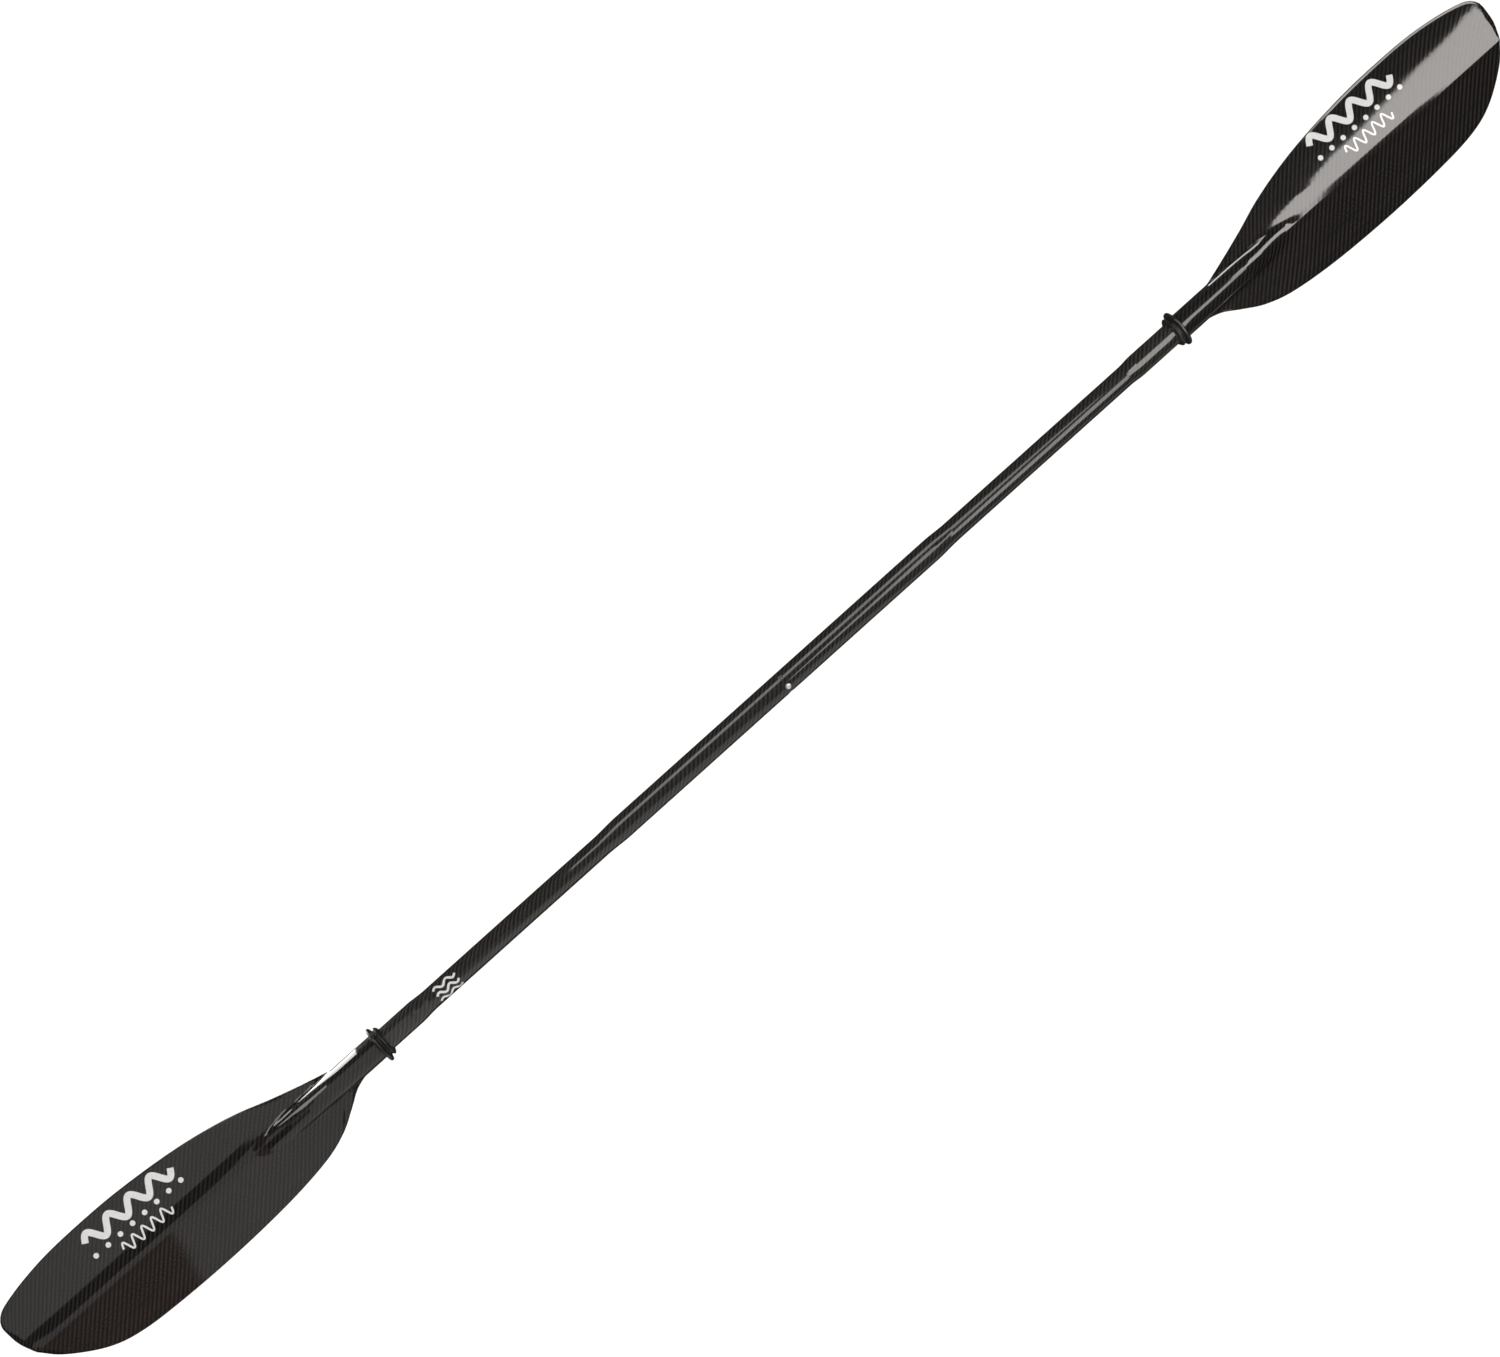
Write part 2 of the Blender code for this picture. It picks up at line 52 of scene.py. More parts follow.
GAP = 0.0003
SHAFT_R = 0.0142
SHAFT_WALL = 0.0014
GRIP_HALF_Y = 0.0128
GRIP_HALF_Z = 0.0156
JOINT_X = -0.042
SHAFT_END_X = 0.720
GRIP_ZONE = {-1: (0.252, 0.285, 0.550, 0.573), 1: (0.232, 0.265, 0.541, 0.561)}
BORE_R = SHAFT_R - SHAFT_WALL
FERRULE_R = BORE_R - GAP
FERRULE_WALL = 0.0016
FERRULE_X = (-0.114, 0.058)
BUTTON_ANGLE = radians(28)
INDEX_ANGLE = radians(60)
BUTTON_R = 0.0035
BUTTON_TOP = 0.0172
BUTTON_DOME = 0.0022
HOLE_R = 0.0039
SPRING_WIDTH = 0.007
SPRING_THICKNESS = 0.0006
SPRING_BEND_X = -0.036
SPRING_BEND_R = 0.0025
SPRING_TIP_X = 0.0062
SPRING_UPPER_R = 0.0090
SPRING_LOWER_R = -0.0094
RING_X = 0.6165
RING_BORE_R = SHAFT_R + GAP
RING_PROFILE = (
    (0.0000, RING_BORE_R),
    (0.0000, 0.0162),
    (0.0008, 0.0178),
    (0.0026, 0.0196),
    (0.0036, 0.0196),
    (0.0047, 0.0181),
    (0.0060, 0.0176),
    (0.0071, 0.0190),
    (0.0082, 0.0226),
    (0.0092, 0.0235),
    (0.0108, 0.0235),
    (0.0119, 0.0224),
    (0.0125, 0.0195),
    (0.0125, RING_BORE_R),
)
NECK_R = 0.0160
NECK_X = 0.6295
LOWER_EDGE = (
    (0.664, -0.0160),
    (0.680, -0.0215),
    (0.700, -0.0340),
    (0.725, -0.0480),
    (0.760, -0.0585),
    (0.820, -0.0655),
    (0.900, -0.0683),
    (0.980, -0.0667),
    (1.040, -0.0615),
    (1.080, -0.0490),
    (1.120, -0.0225),
    (1.1405, 0.0),
)
UPPER_EDGE = (
    (0.688, 0.0160),
    (0.720, 0.0250),
    (0.760, 0.0373),
    (0.800, 0.0510),
    (0.850, 0.0630),
    (0.900, 0.0706),
    (0.960, 0.0760),
    (1.010, 0.0773),
    (1.060, 0.0762),
    (1.100, 0.0715),
    (1.130, 0.0650),
    (1.1440, 0.0590),
    (1.1515, 0.0490),
    (1.1520, 0.0380),
    (1.1495, 0.0200),
    (1.1405, 0.0),
)
CREASE_END_X = 1.1405
SKIN = 0.0011
NECK_WALL = NECK_R - SHAFT_R - GAP
WALL_EASE_Y = (0.017, 0.024)
EDGE_HALF_THICKNESS = SKIN + GAP / 2
ROOT_HALF_THICKNESS = 0.0045
TIP_HALF_THICKNESS = 0.0030
ROOT_X = (0.630, 0.690)
THINNING_X = (0.700, 1.130)
SPOON_X = (0.690, 1.151)
SPOON_DEPTH = 0.024
SPOON_POWER = 1.7
LOWER_SLOPE = tan(radians(4))
RIDGE_SLOPE = tan(radians(9))
UPPER_SLOPE = tan(radians(3))
RIDGE_WIDTH = 0.030
CUP = 1.7
ROOF_X = (0.650, 0.755)
MIDDLE_X = (0.640, 0.690)
RIB_FADE_X = 0.727
RIB_NOSE_X = {1: 0.875, -1: 0.985}
RIB_SINK = {1: 0.020, -1: 0.0}
RIB_NOSE_R = {1: NECK_R, -1: 0.0021}
RIB_DROP = 4.0
FILLET = 0.0016
THROAT_X = (0.660, 0.810)
FAN_EASE_X = 0.960
FAN_X = 1.040
COLUMNS = 8
RIB_COLUMNS = 4
RIB_SIDE = radians(76)
EVEN_COLUMNS_X = 0.900

# ---------------------------------------------------------------- fineness and finish of the pieces

SHARP = radians(35)
TUBE_SIDES = 96
RING_SIDES = 128
BUTTON_SIDES = 48
HOLE_SIDES = 48
NECK_ROWS = 8
THROAT_ROWS = 50
BLADE_ROWS = 60
FAN_ROWS = 30
RIB_STEPS = 18
WING_STEPS = 14
RIM_STEPS = 5
RIM_R = 0.0011
RIM_LAND = 0.0003
RIM_X = (0.640, 0.690)
SLOPE_STEP = 0.0002
CREASE_FOLD = radians(4)
TUBE_CHAMFER = 0.00025
TUBE_END_LOOP = 0.004
TUBE_LOOPS_FROM_X = 0.060
HOLE_LOOPS = (-0.012, -0.006, 0.006, 0.012)
FERRULE_CHAMFER = 0.0004
FERRULE_MIDDLE_X = -0.046
FERRULE_NOSE = ((0.0020, 0.0), (0.0008, 0.0003), (0.0, 0.0010))
TUBE_CUT_REACH = 0.003
FERRULE_CUT_REACH = 0.002
TOW = 0.0017
PRINT_LIFT = 0.00006
PRINT_SINK = 0.00005


def smoothstep(low, high, value):
    ratio = min(max((value - low) / (high - low), 0.0), 1.0)
    return ratio * ratio * (3 - 2 * ratio)


def mix(low, high, ratio):
    return low + (high - low) * ratio


# ---------------------------------------------------------------- meshes


def add_piece(name, shape, material, body=None, node=None):
    """A closed bmesh as a smooth-shaded piece that rides on a body and stands for a CAD node."""
    bmesh.ops.recalc_face_normals(shape, faces=shape.faces)
    mesh = bpy.data.meshes.new(name)
    shape.to_mesh(mesh)
    shape.free()
    mesh.shade_smooth()
    mesh.set_sharp_from_angle(angle=SHARP)
    mesh.materials.append(material)
    piece = bpy.data.objects.new(name, mesh)
    bpy.context.scene.collection.objects.link(piece)
    if body:
        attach(piece, body)
    if node:
        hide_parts(node)
    return piece


def weave_layer(shape):
    """The piece's own flat coordinates: metres along it and round it, for the cloth's pattern."""
    return shape.verts.layers.float_vector.new("weave")


def skin_rings(shape, rings, closed=True):
    """Quads between each ring of vertices and the next one."""
    for near, far in zip(rings, rings[1:]):
        for i in range(0 if closed else 1, len(near)):
            shape.faces.new((near[i - 1], near[i], far[i], far[i - 1]))


def lathe(profile, sides, axes=lambda x, r: (r, r)):
    """A closed profile of (x, radius) turned about X, with weave coordinates on its vertices."""
    shape = bmesh.new()
    weave = weave_layer(shape)
    rings = []
    for x, radius in profile:
        half_y, half_z = axes(x, radius)
        ring = []
        for i in range(sides):
            a = 2 * pi * i / sides
            vert = shape.verts.new((x, half_y * sin(a), half_z * cos(a)))
            vert[weave] = (x, SHAFT_R * a, 0)
            ring.append(vert)
        rings.append(ring)
    skin_rings(shape, rings + rings[:1])
    return shape


def cut_round(piece, angles, reach):
    """Cut round holes through the piece, on radii of the shaft at the button's place."""
    for angle in angles:
        shape = bmesh.new()
        place = Matrix.Rotation(angle, 4, "X") @ Matrix.Translation((0, 0, mix(*reach, 0.5)))
        bmesh.ops.create_cone(
            shape, cap_ends=True, segments=HOLE_SIDES, radius1=HOLE_R, radius2=HOLE_R,
            depth=reach[1] - reach[0], matrix=place,
        )
        mesh = bpy.data.meshes.new("cutter")
        shape.to_mesh(mesh)
        shape.free()
        cutter = bpy.data.objects.new("cutter", mesh)
        bpy.context.scene.collection.objects.link(cutter)
        step = piece.modifiers.new("hole", "BOOLEAN")
        step.operation, step.solver, step.object = "DIFFERENCE", "EXACT", cutter
        bpy.context.view_layer.update()
        result = piece.evaluated_get(bpy.context.evaluated_depsgraph_get())
        cut = bpy.data.meshes.new_from_object(result)
        piece.modifiers.clear()
        piece.data = cut
        bpy.data.objects.remove(cutter)
        bpy.data.meshes.remove(mesh)
    piece.data.shade_smooth()
    piece.data.set_sharp_from_angle(angle=SHARP)


# ---------------------------------------------------------------- shaft, ferrule, button and rings


def shaft_half_axes(side, x):
    start, oval_from, oval_to, end = GRIP_ZONE[side]
    oval = smoothstep(start, oval_from, x) - smoothstep(oval_to, end, x)
    return mix(SHAFT_R, GRIP_HALF_Y, oval), mix(SHAFT_R, GRIP_HALF_Z, oval)


def shaft_tube(name, side, material):
    """A hollow tube, round with an oval grip, and loops on both sides of the index holes."""
    start, oval_from, oval_to, end = GRIP_ZONE[side]
    first = side * JOINT_X + (GAP if side < 0 else 0.0)
    stations = [first + TUBE_CHAMFER, first + TUBE_END_LOOP]
    if side > 0:
        stations += [*HOLE_LOOPS, 0.018]
    stations += [mix(TUBE_LOOPS_FROM_X, start, i / 6) for i in range(6)]
    stations += [mix(start, oval_from, i / 12) for i in range(13)]
    stations += [mix(oval_from, oval_to, i / 10) for i in range(1, 10)]
    stations += [mix(oval_to, end, i / 12) for i in range(13)]
    stations += [SHAFT_END_X - TUBE_CHAMFER]
    ends = first, SHAFT_END_X
    profile = [(ends[0], TUBE_CHAMFER)] + [(x, 0.0) for x in stations] + [(ends[1], TUBE_CHAMFER)]
    profile += [(x, SHAFT_WALL) for x in (ends[1], *stations[::-1], ends[0])]

    def axes(x, inset):
        half_y, half_z = shaft_half_axes(side, side * x)
        return half_y - inset, half_z - inset

    shape = lathe([(side * x, inset) for x, inset in profile], TUBE_SIDES, axes)
    body = "left_half" if side < 0 else "right_half"
    tube = add_piece(name, shape, material, body, f"{body[:-5]}_shaft")
    if side > 0:
        turns = (BUTTON_ANGLE - INDEX_ANGLE, BUTTON_ANGLE, BUTTON_ANGLE + INDEX_ANGLE)
        cut_round(tube, turns, (BORE_R - TUBE_CUT_REACH, SHAFT_R + TUBE_CUT_REACH))


def male_ferrule(material):
    """The sleeve in the left shaft's end, with an eased nose and one hole for the button."""
    bore = FERRULE_R - FERRULE_WALL
    start, end = FERRULE_X
    profile = [(start, bore), (start, FERRULE_R - FERRULE_CHAMFER), (start + FERRULE_CHAMFER, FERRULE_R)]
    profile += [(x, FERRULE_R) for x in (FERRULE_MIDDLE_X, *HOLE_LOOPS)]
    profile += [(end - back, FERRULE_R - inset) for back, inset in FERRULE_NOSE]
    profile += [(end, bore)] + [(x, bore) for x in HOLE_LOOPS[::-1]]
    shape = lathe(profile, TUBE_SIDES)
    node, slot = "male_ferrule", "ferrule_glass"
    sleeve = add_piece("male_ferrule_sleeve", shape, material, "left_half", node)
    cut_round(sleeve, (BUTTON_ANGLE,), (bore - FERRULE_CUT_REACH, FERRULE_R + FERRULE_CUT_REACH))


def leaf(name, path, material, body):
    """A stretch of the V spring's leaf, from its centre line's points of (x, radius)."""
    shape = bmesh.new()
    half = SPRING_WIDTH / 2
    bevel = SPRING_THICKNESS / 5
    rings = []
    points = [Vector(point) for point in path]
    for i, point in enumerate(points):
        along = (points[min(i + 1, len(points) - 1)] - points[max(i - 1, 0)]).normalized()
        across = Vector((along.y, -along.x)) * (SPRING_THICKNESS / 2)
        inner = across * (1 - 2 * bevel / SPRING_THICKNESS)
        corners = [(across, bevel - half), (inner, -half), (-inner, -half), (-across, bevel - half)]
        corners += [(-across, half - bevel), (-inner, half), (inner, half), (across, half - bevel)]
        rings.append([shape.verts.new((point.x + o.x, y, point.y + o.y)) for o, y in corners])
    skin_rings(shape, rings)
    shape.faces.new(rings[0])
    shape.faces.new(rings[-1])
    bmesh.ops.transform(shape, matrix=Matrix.Rotation(BUTTON_ANGLE, 4, "X"), verts=shape.verts)
    return add_piece(name, shape, material, body)


def snap_button(material):
    """The domed button on the spring's near leg, which bends from the far leg in the ferrule."""
    skirt = BUTTON_TOP - BUTTON_DOME
    profile = [(BUTTON_R, mix(skirt, SPRING_UPPER_R, t)) for t in (1.0, 0.5, 0.1)]
    for degrees in range(0, 90, 9):
        a = radians(degrees)
        profile.append((BUTTON_R * cos(a), skirt + BUTTON_DOME * sin(a)))
    shape = bmesh.new()
    turns = [2 * pi * i / BUTTON_SIDES for i in range(BUTTON_SIDES)]
    rings = []
    for radius, height in profile:
        rings.append([shape.verts.new((radius * cos(a), radius * sin(a), height)) for a in turns])
    skin_rings(shape, rings)
    shape.faces.new(rings[0])
    top = shape.verts.new((0, 0, BUTTON_TOP))
    for i in range(BUTTON_SIDES):
        shape.faces.new((rings[-1][i - 1], rings[-1][i], top))
    bmesh.ops.transform(shape, matrix=Matrix.Rotation(BUTTON_ANGLE, 4, "X"), verts=shape.verts)
    add_piece("snap_button_dome", shape, material, "snap_button", "snap_button_spring")

    reach = [mix(-SPRING_TIP_X, SPRING_BEND_X, i / 8) for i in range(9)]
    slope = (SPRING_UPPER_R - SPRING_BEND_R) / (-SPRING_TIP_X - SPRING_BEND_X)
    near = [(SPRING_TIP_X, SPRING_UPPER_R)]
    near += [(x, SPRING_BEND_R + slope * (x - SPRING_BEND_X)) for x in reach]
    near_leg = leaf("spring_near_leg", near, material, None)
    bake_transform(near_leg)
    bend = [radians(90 + 15 * i) for i in range(13)]
    far = [(SPRING_BEND_X + SPRING_BEND_R * cos(a), SPRING_BEND_R * sin(a)) for a in bend]
    far += [(-SPRING_TIP_X, SPRING_LOWER_R), (SPRING_TIP_X, SPRING_LOWER_R)]
    leaf("spring_far_leg", far, material, "left_half")


def drip_ring(label, side, material):
    """The CAD's ring section as one smooth curve, with its bore and its outboard face flat."""
    bore_in, *curve, face, bore_out = RING_PROFILE
    steps = 5 * (len(curve) - 1)
    smooth = [spline(curve, i / steps) for i in range(steps + 1)]
    outline = [bore_in] + [tuple(point) for point in smooth] + [face, bore_out]
    shape = lathe([(side * (RING_X + x), radius) for x, radius in outline], RING_SIDES)
    body, node = f"{label}_ring", f"{label}_drip_ring"
    add_piece(f"{label}_ring_moulding", shape, material, body, node)


# ---------------------------------------------------------------- the blade's surface, as in the CAD


def spline(points, ratio):
    """A point on the smooth curve through these points, at this share of their number."""
    place = ratio * (len(points) - 1)
    index = min(int(place), len(points) - 2)
    t = place - index
    near, far = Vector(points[index]), Vector(points[index + 1])
    before = Vector(points[index - 1]) if index else near * 2 - far
    after = Vector(points[index + 2]) if index + 2 < len(points) else far * 2 - near
    swing = (far - before) * t + (before * 2 - near * 5 + far * 4 - after) * t * t
    return near + (swing + (near * 3 - before - far * 3 + after) * t ** 3) / 2


def traced(points, steps=600):
    """The same curve as short chords, with the length along it to each of their ends."""
    curve = [spline(points, i / steps) for i in range(steps + 1)]
    lengths = [0.0]
    for near, far in zip(curve, curve[1:]):
        lengths.append(lengths[-1] + (far - near).length)
    return curve, lengths


def edge_at_x(curve, x, neck_y):
    """Where the outline crosses x on its way to the tip, or the neck's side before the throat."""
    if x <= curve[0].x:
        return Vector((x, neck_y))
    for near, far in zip(curve, curve[1:]):
        if near.x <= x <= far.x:
            return near.lerp(far, (x - near.x) / max(far.x - near.x, 1e-9))
    return curve[-1]


def edge_in_fan(curve, lengths, ratio):
    """A point on the outline's tip stretch, at this share of the way to the end of the crease."""
    start = next(length for point, length in zip(curve, lengths) if point.x >= FAN_X)
    wanted = mix(start, lengths[-1], ratio)
    index = next(i for i, length in enumerate(lengths) if length >= wanted - 1e-9)
    return curve[index]


def spoon(x):
    ratio = max((x - SPOON_X[0]) / (SPOON_X[1] - SPOON_X[0]), 0.0)
    return SPOON_DEPTH * ratio ** SPOON_POWER


def roof(y):
    """How far the blade's two sides fall away from the crease, less their cup's rise."""
    cup = CUP * y * y / 2
    if y < 0:
        return y * LOWER_SLOPE + cup
    ratio = min(y / RIDGE_WIDTH, 1.0)
    eased = RIDGE_WIDTH * (ratio ** 3 - ratio ** 4 / 2) + max(y - RIDGE_WIDTH, 0.0)
    return cup - y * RIDGE_SLOPE + eased * (RIDGE_SLOPE - UPPER_SLOPE)


def middle(x, y):
    return (spoon(x) + roof(y) * smoothstep(*ROOF_X, x)) * smoothstep(*MIDDLE_X, x)


def half_thickness(x, y, half_width):
    full = mix(ROOT_HALF_THICKNESS, TIP_HALF_THICKNESS, smoothstep(*THINNING_X, x))
    share = min(abs(y) / half_width, 1.0) ** 2
    return mix(full, EDGE_HALF_THICKNESS, share) * smoothstep(*ROOT_X, x)


def surface(x, y, half_width, face):
    """Height of the power face (face 1) or the back (face -1): the rib and the blade, blended."""
    blade = face * middle(x, y) + half_thickness(x, y, half_width)
    fade = smoothstep(RIB_FADE_X, RIB_NOSE_X[face], x)
    centre, radius = (spoon(x) - RIB_SINK[face]) * fade, mix(NECK_R, RIB_NOSE_R[face], fade)
    rib = face * centre + sqrt(max(radius * radius - y * y, 0.0)) - RIB_DROP * max(abs(y) - radius, 0.0)
    fillet = FILLET * smoothstep(*ROOT_X, x)
    return face * (blade + rib + hypot(blade - rib, fillet)) / 2


def blade_rows():
    """For each row across the blade: its point on the crease, the lower edge and the upper edge."""
    lower, upper = traced(LOWER_EDGE), traced(UPPER_EDGE)
    spans = ((NECK_X, THROAT_X[0], NECK_ROWS), (*THROAT_X, THROAT_ROWS), (THROAT_X[1], FAN_X, BLADE_ROWS))
    rows = []
    for start, end, count in spans:
        for i in range(count):
            x = mix(start, end, i / count)
            sides = edge_at_x(lower[0], x, -NECK_R), edge_at_x(upper[0], x, NECK_R)
            rows.append((Vector((x, 0.0)), *sides))
    for i in range(FAN_ROWS):
        ratio = i / FAN_ROWS
        crease = Vector((mix(FAN_X, CREASE_END_X, ratio), 0.0))
        rows.append((crease, edge_in_fan(*lower, ratio), edge_in_fan(*upper, ratio)))
    return rows


def across(crease, edge, column):
    """Share of the way from the crease to the edge: on the rib up to RIB_COLUMNS, then evenly."""
    reach = abs(edge.y)
    if column < RIB_COLUMNS:
        turn = RIB_SIDE * column / RIB_COLUMNS
        flat = smoothstep(RIB_FADE_X, EVEN_COLUMNS_X, crease.x)
        run = mix(NECK_R * sin(turn), NECK_R * sin(RIB_SIDE) * column / RIB_COLUMNS, flat)
    else:
        run = mix(NECK_R * sin(RIB_SIDE), reach, (column - RIB_COLUMNS) / (COLUMNS - RIB_COLUMNS))
    return mix(run / reach, column / COLUMNS, smoothstep(FAN_EASE_X, FAN_X, crease.x))


def row_shares(crease, edge):
    """Shares of the way out at which a row has points, and how far each one is round the rim."""
    length = (edge - crease).length
    inner = 1 - min(RIM_R / length, 0.4)
    columns = [RIB_COLUMNS * i / RIB_STEPS for i in range(RIB_STEPS)]
    columns += [mix(RIB_COLUMNS, COLUMNS, i / WING_STEPS) for i in range(WING_STEPS)]
    shares = [(across(crease, edge, column) * inner, 0.0) for column in columns]
    for i in range(RIM_STEPS + 1):
        turn = pi / 2 * i / RIM_STEPS
        shares.append((1 - (1 - inner) * (1 - sin(turn)), turn))
    return shares


def skin_height(place, edge, face, turn):
    """Height of the skin's outside, rounded off at the blade's rim."""
    full = surface(place.x, place.y, abs(edge.y), face)
    split = middle(place.x, place.y) + face * GAP / 2
    rounded = split + face * mix(RIM_LAND, abs(full - split), cos(turn)) if turn else full
    return mix(full, rounded, smoothstep(*RIM_X, place.x))


def inside(place, crease, edge, share, face):
    """The Y and Z of the skin's inside, square to its outside here and kept off its partner."""
    half_width = abs(edge.y)
    full = surface(place.x, place.y, half_width, face)
    step = (edge - crease).normalized() * SLOPE_STEP
    beyond = surface(place.x, place.y + step.y, half_width, face)
    fall = (beyond - full) / step.y if share > 0.01 else 0.0
    wall = mix(NECK_WALL, SKIN, smoothstep(*WALL_EASE_Y, abs(place.y)))
    depth = face * wall / hypot(1, fall)
    y, z = place.y + depth * fall, full - depth
    split = middle(place.x, y) + face * GAP / 2
    return y, max(z, split) if face > 0 else min(z, split)


def blade_skin(label, side, face, material):
    """One moulded skin, from the neck's end to the tip, closed round its rim."""
    shape = bmesh.new()
    weave = weave_layer(shape)
    outer, inner = [], []
    for crease, lower, upper in blade_rows():
        outer_row, inner_row = [], []
        for edge in (lower, upper):
            outward = 1 if edge is upper else -1
            run, last, outer_side, inner_side = 0.0, None, [], []
            for share, turn in row_shares(crease, edge):
                place = crease.lerp(edge, share)
                point = Vector((place.x, place.y, skin_height(place, edge, face, turn)))
                run += (point - last).length if last else 0.0
                last = point
                vert = shape.verts.new((side * point.x, point.y, point.z))
                vert[weave] = (side * place.x, outward * run, 0)
                outer_side.append(vert)
                inner_point = (side * place.x, *inside(place, crease, edge, share, face))
                inner_side.append(shape.verts.new(inner_point))
            if edge is lower:
                outer_row, inner_row = outer_side[::-1], inner_side[::-1]
            else:
                shape.verts.remove(outer_side.pop(0))
                shape.verts.remove(inner_side.pop(0))
                outer_row += outer_side
                inner_row += inner_side
        outer.append(outer_row)
        inner.append(inner_row)
    tip_z = middle(CREASE_END_X, 0.0)
    tips = []
    for height in (GAP / 2 + RIM_LAND, GAP / 2):
        tips.append(shape.verts.new((side * CREASE_END_X, 0.0, tip_z + face * height)))
    for grid, tip in zip((outer, inner), tips):
        skin_rings(shape, grid, closed=False)
        for i in range(len(grid[-1]) - 1):
            shape.faces.new((grid[-1][i], grid[-1][i + 1], tip))
    for end in (0, -1):
        rims = [[row[end] for row in grid] + [tip] for grid, tip in zip((outer, inner), tips)]
        skin_rings(shape, rims, closed=False)
    skin_rings(shape, (outer[0], inner[0]), closed=False)
    name = f"{label}_blade_{'face' if face > 0 else 'back'}"
    piece = add_piece(f"{name}_skin", shape, material, f"{label}_half", name)
    sharpen_crease(piece.data)


def sharpen_crease(mesh):
    """Keep the fold along the blade's crease crisp where the rib has run out."""
    shape = bmesh.new()
    shape.from_mesh(mesh)
    for edge in shape.edges:
        on_crease = all(abs(vert.co.y) < 1e-7 for vert in edge.verts)
        if on_crease and len(edge.link_faces) == 2 and edge.calc_face_angle(0.0) > CREASE_FOLD:
            edge.smooth = False
    shape.to_mesh(mesh)
    shape.free()


# ---------------------------------------------------------------- prints: waves and dots

# Label, side, the rows' middle x, then each row's y: bold wave, dots, thin wave
BLADE_PRINTS = (
    ("left", -1, -0.9590, (0.0555, 0.0370, 0.0213)),
    ("right", 1, 0.9525, (0.0565, 0.0375, 0.0218)),
)
BOLD_WAVE = {"length": 0.126, "height": 0.0250, "stroke": 0.0078, "periods": 4}
DOT_ROW = {"length": 0.126, "count": 8, "radius": 0.0032}
THIN_WAVE = {"length": 0.071, "height": 0.0155, "stroke": 0.0023, "periods": 5}
SHAFT_PRINT_X = -0.5235
SHAFT_PRINT_RUNS = (-0.0125, -0.0036, 0.0053)
SHAFT_WAVE = {"length": 0.032, "height": 0.0085, "stroke": 0.0030, "periods": 2}


def half_width_at(x, upper=traced(UPPER_EDGE)[0], lower=traced(LOWER_EDGE)[0]):
    return edge_at_x(upper, x, NECK_R).y, -edge_at_x(lower, x, -NECK_R).y


def on_blade(side):
    """Places on the power face, from x and y."""

    def place(x, y, lift):
        upper, lower = half_width_at(side * x)
        return x, y, surface(side * x, y, upper if y > 0 else lower, 1) + lift

    return place


def on_shaft(side):
    """Places on a shaft, from x and the length round it from its top."""

    def place(x, run, lift):
        half_y, half_z = shaft_half_axes(side, side * x)
        a = run / SHAFT_R
        return x, (half_y + lift) * sin(a), (half_z + lift) * cos(a)

    return place


def patch(shape, grid, place):
    """A thin closed patch of ink from a grid of (x, y) points, over the surface that place gives."""
    layers = []
    for lift in (PRINT_LIFT, -PRINT_SINK):
        layers.append([[shape.verts.new(place(*point, lift)) for point in row] for row in grid])
    for layer in layers:
        skin_rings(shape, layer, closed=False)
    top, under = layers
    for near, far in ((top[0], under[0]), (top[-1], under[-1])):
        skin_rings(shape, (near, far), closed=False)
    for end in (0, -1):
        skin_rings(shape, ([row[end] for row in top], [row[end] for row in under]), closed=False)


def wave(shape, place, centre, length, height, stroke, periods):
    """A ribbon of even width along a sine."""
    steps, strands = 24 * periods, 4
    swing = (height - stroke) / 2
    grid = []
    for i in range(steps + 1):
        ratio = i / steps
        phase = 2 * pi * periods * ratio
        slope = swing * 2 * pi * periods / length * cos(phase)
        across_x, across_y = -slope / hypot(1, slope), 1 / hypot(1, slope)
        x = centre[0] + length * (ratio - 0.5)
        y = centre[1] + swing * sin(phase)
        offsets = [stroke * (k / strands - 0.5) for k in range(strands + 1)]
        grid.append([(x + o * across_x, y + o * across_y) for o in offsets])
    patch(shape, grid, place)


def dots(shape, place, centre, length, count, radius):
    """A row of round dots, each one a disc grown from a small square."""
    size = 8
    for k in range(count):
        x0 = centre[0] + length * (k / (count - 1) - 0.5)
        grid = []
        for i in range(size + 1):
            row = []
            for j in range(size + 1):
                u, v = 2 * i / size - 1, 2 * j / size - 1
                row.append((
                    x0 + radius * u * sqrt(1 - v * v / 2),
                    centre[1] + radius * v * sqrt(1 - u * u / 2),
                ))
            grid.append(row)
        patch(shape, grid, place)


def prints(material):
    for label, side, x, (bold_y, dots_y, thin_y) in BLADE_PRINTS:
        shape = bmesh.new()
        place = on_blade(side)
        wave(shape, place, (x, bold_y), **BOLD_WAVE)
        dots(shape, place, (x, dots_y), **DOT_ROW)
        wave(shape, place, (x, thin_y), **THIN_WAVE)
        add_piece(f"{label}_blade_print", shape, material, f"{label}_half")
    shape = bmesh.new()
    for run in SHAFT_PRINT_RUNS:
        wave(shape, on_shaft(-1), (SHAFT_PRINT_X, run), **SHAFT_WAVE)
    add_piece("left_shaft_print", shape, material, "left_half")


# ---------------------------------------------------------------- materials


